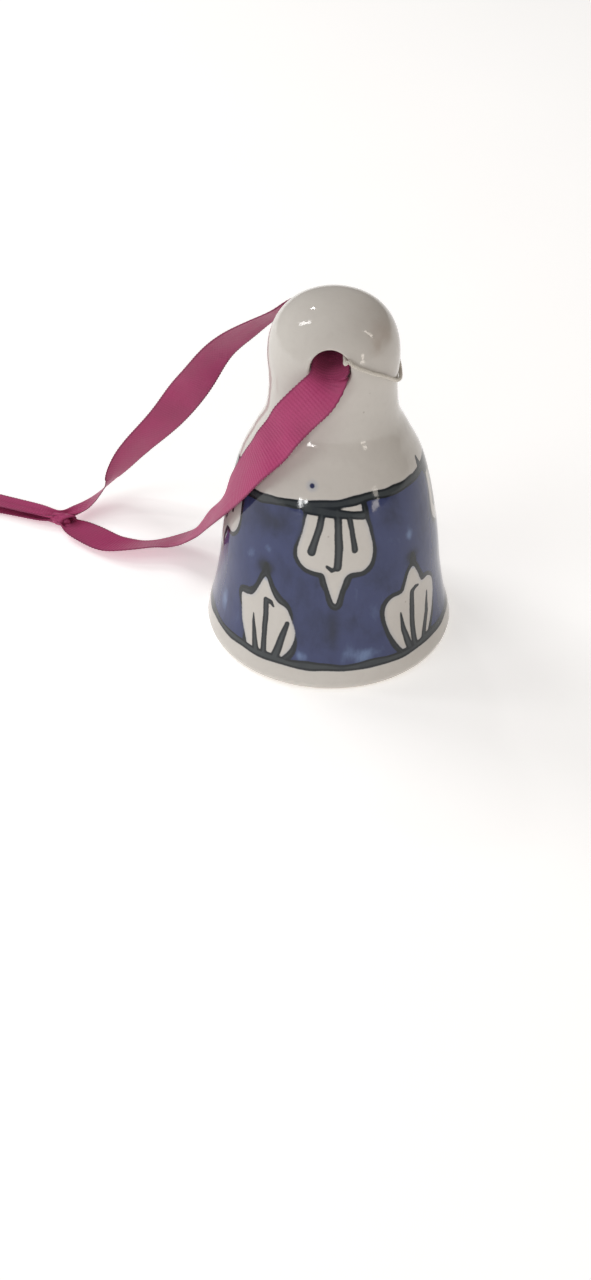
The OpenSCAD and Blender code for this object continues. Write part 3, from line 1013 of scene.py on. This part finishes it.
# ---------------------------------------------------------------- thread and clapper
# One leg of the thread, from above the tie knot out of the front hole: x, y, z
LEG_ROUTE = [
    [0.3, -1.2, 46.8],
    [1.8, -4, 51],
    [3.4, -5.8, 55],
    [3.8, -5.9, 57.2],
    [3.7, -5.9, 58.2],
    [2.8, -6.1, 58.95],
    [2.2, -7, 59.1],
    [2.2, -8.2, 59.16],
    [2.34, -9.6, 59.1],
    [2.42, -10.8, 59.05],
]
# The loop round the knob to its right side: degrees from the front, height
WRAP_ROUTE = [[16, 59.2], [19, 58.6], [25, 57.9], [37, 56.6], [52, 54.9], [70, 52.6], [90, 51.4]]
THREAD_R = 0.3
TIE_Z = 46.0


def twisted(points, radius, plies, pitch):
    """Two or more plies laid round each other along a line, of that radius in all."""
    points = spaced(points, pitch / 9)
    along = run_length(points)
    _, side, up = carried_frames(points)
    ply_r = radius / (1 + 1 / math.sin(math.pi / plies))
    offset = radius - ply_r
    parts = []
    for k in range(plies):
        angle = (along / pitch * 2 * math.pi + k * 2 * math.pi / plies)[:, None]
        line = points + offset * (side * np.cos(angle) + up * np.sin(angle))
        parts.append(tube(line, ply_r * 1.12, 6))
    return joined(parts)


def helix_lines(points, offset, pitch):
    """Two lines wound round the middle of another."""
    points = spaced(points, 0.3)
    along = run_length(points)
    _, side, up = carried_frames(points)
    angle = (along / pitch * 2 * math.pi)[:, None]
    swing = side * np.cos(angle) + up * np.sin(angle)
    return points + offset * swing, points - offset * swing


def make_thread_loop():
    outside = []
    for degrees, z in WRAP_ROUTE:
        r = outer_r(z) + THREAD_R + 0.1
        a = math.radians(degrees)
        outside.append([r * math.sin(a), -r * math.cos(a), z])
    half = LEG_ROUTE + outside
    rear = [[x, -y, z] for x, y, z in reversed(half[:-1])]
    line = smooth_curve(half + rear, 8)
    verts, faces = twisted(line, THREAD_R * 1.1, 3, 1.5)
    return add_piece("thread_loop_twisted", verts, faces, cotton, "bell", ["thread_loop"])


def knot_line(centre, size):
    """A trefoil, the shape of an overhand knot, inside a ball of that diameter."""
    t = np.linspace(0, 2 * math.pi, 90)
    line = np.stack([np.sin(t) + 2 * np.sin(2 * t), np.cos(t) - 2 * np.cos(2 * t), -np.sin(3 * t)], axis=1)
    return np.array(centre) + line * (size / 2 - 0.3) / 3.2


def make_knot_ball(name, centre, size, body, node, radius):
    """A tight overhand knot of the thread."""
    verts, faces = tube(knot_line(centre, size), radius, 10)
    return add_piece(name, verts, faces, cotton, body, [node])


def make_clapper_thread():
    top, low = TIE_Z - 1.1, bead_low.z / MM
    axis = np.array([[0, 0, z] for z in np.linspace(top, low - 0.3, 60)])
    strands = [twisted(line, 0.26, 2, 1.2) for line in helix_lines(axis, 0.22, 6.0)]
    verts, faces = joined(strands)
    add_piece("clapper_thread_twisted", verts, faces, cotton, "clapper", ["clapper_thread"])


def make_bead():
    low_at, high_at = bead_low / MM, bead_high / MM
    middle = (low_at.z + high_at.z) / 2
    tall = (high_at.z - low_at.z) / 2
    bead_r = (high_at.x - low_at.x) / 2
    bore_r = 0.9
    section = [[bore_r, -tall + 0.9], [bore_r + 0.25, -tall + 0.25], [bore_r + 0.9, -tall]]
    for a in np.linspace(-64, 64, 23):
        section.append([bead_r * math.cos(math.radians(a)) ** 0.85, tall * math.sin(math.radians(a))])
    section += [[bore_r + 0.9, tall], [bore_r + 0.25, tall - 0.25], [bore_r, tall - 0.9]]
    section = spaced(smooth_curve(section + section[:1], 3), 0.3, 2)[:-1]
    around = 72
    angles = np.arange(around) * 2 * math.pi / around
    verts = np.array([[r * math.cos(a), r * math.sin(a), middle + h] for a in angles for r, h in section])
    bumps = np.array([0.07 * noise.noise(Vector(v * 0.3)) for v in verts])
    verts[:, :2] *= (1 + bumps / 5)[:, None]
    count = len(section)
    faces = []
    for i in range(around):
        for k in range(count):
            a, b = i * count + k, i * count + (k + 1) % count
            c, d = (i + 1) % around * count + (k + 1) % count, (i + 1) % around * count + k
            faces.append((d, c, b, a))
    add_piece("clapper_bead_glazed", verts, faces, bead_material(), "clapper", ["clapper_bead"])


def bead_material():
    n = Nodes("bead_glaze")
    place = n.position()
    cloud = n.noise(place, 0.5, 4)
    pits = n.ramp(n.cells(place, 0.9), 0.06, 0.12, 1, 0)
    colour = n.mix(cloud, (0.52, 0.48, 0.42), (0.62, 0.58, 0.52))
    colour = n.mix(n.math("MULTIPLY", pits, 0.4), colour, (0.25, 0.19, 0.14))
    normal = n.bump(n.noise(place, 1.4, 3), 0.06, 0.4)
    rough = n.ramp(cloud, 0.3, 0.7, 0.18, 0.3)
    return n.finish(colour, rough, normal, Coat_Weight=0.3, Coat_Roughness=0.08)


make_thread_loop()
make_knot_ball("thread_tie_knot", (0, 0, TIE_Z), 1.8, "clapper_swivel", "thread_tie", 0.28)
make_knot_ball("clapper_stop_knot", (0, 0, bead_low.z / MM - 1.2), 2.4, "clapper", "stop_knot", 0.42)
make_clapper_thread()
make_bead()


# ---------------------------------------------------------------- floor and light
def floor_material():
    n = Nodes("pale_floor")
    cloud = n.noise(n.position(), 0.01, 2)
    colour = n.mix(cloud, (0.86, 0.855, 0.85), (0.9, 0.895, 0.89))
    return n.finish(
        colour, 0.85, Specular_IOR_Level=0.2, Emission_Color=(1, 0.99, 0.98, 1), Emission_Strength=0.42,
    )


def make_floor():
    mesh = bpy.data.meshes.new("floor")
    reach = 3.0
    corners = [(-reach, -reach, 0), (reach, -reach, 0), (reach, reach, 0), (-reach, reach, 0)]
    mesh.from_pydata(corners, [], [(0, 1, 2, 3)])
    mesh.materials.append(floor_material())
    floor = bpy.data.objects.new("floor", mesh)
    floor.location.z = -0.0001
    bpy.context.scene.collection.objects.link(floor)


def make_light(name, turn, rise, distance, size, watts, colour=(1, 1, 1), mirrored=True):
    """A soft area light at degrees from the front, positive to the right, and above the horizon."""
    data = bpy.data.lights.new(name, "AREA")
    data.shape = "RECTANGLE"
    data.size, data.size_y = size
    data.energy = watts
    data.color = colour
    light = bpy.data.objects.new(name, data)
    turn, rise = math.radians(turn), math.radians(rise)
    away = Vector((math.sin(turn) * math.cos(rise), -math.cos(turn) * math.cos(rise), math.sin(rise)))
    light.location = Vector((0, 0, 0.035)) + away * distance
    light.rotation_euler = away.to_track_quat("Z", "Y").to_euler()
    light.visible_glossy = mirrored
    bpy.context.scene.collection.objects.link(light)


def make_lights():
    make_light("key", -56, 36, 1.0, (0.45, 0.45), 1.65, (0.97, 0.99, 1), mirrored=False)
    make_light("fill", 4, 34, 0.7, (0.2, 0.2), 0.4, (1, 0.94, 0.92), mirrored=False)
    make_light("top", -20, 80, 1.2, (1.0, 1.0), 2.1, mirrored=False)
    make_light("rear", -125, 35, 1.0, (0.4, 0.4), 2.9, mirrored=False)
    make_light("window_left", -31, 5, 0.8, (0.06, 0.09), 0.35)
    make_light("window_middle", -25.5, 6.5, 0.8, (0.05, 0.05), 0.25)
    make_light("window_low", 52, 1, 0.8, (0.1, 0.07), 0.14, (1, 0.92, 0.82))
    make_light("window_high", 54, 10, 0.8, (0.07, 0.1), 0.14, (1, 0.92, 0.82))
    make_light("lamp_left", -102, 52, 0.8, (0.07, 0.26), 0.6)
    make_light("lamp_right", 87, 38, 0.8, (0.06, 0.24), 0.3, (1, 0.92, 0.82))
    make_light("lamp_rear", -151, 49, 0.8, (0.05, 0.05), 0.25)
    world = bpy.data.worlds.new("studio")
    world.use_nodes = True
    background = world.node_tree.nodes["Background"]
    background.inputs["Color"].default_value = (1, 0.92, 0.84, 1)
    background.inputs["Strength"].default_value = 0.16
    bpy.context.scene.world = world
    bpy.context.scene.view_settings.view_transform = "Standard"


make_floor()
make_lights()
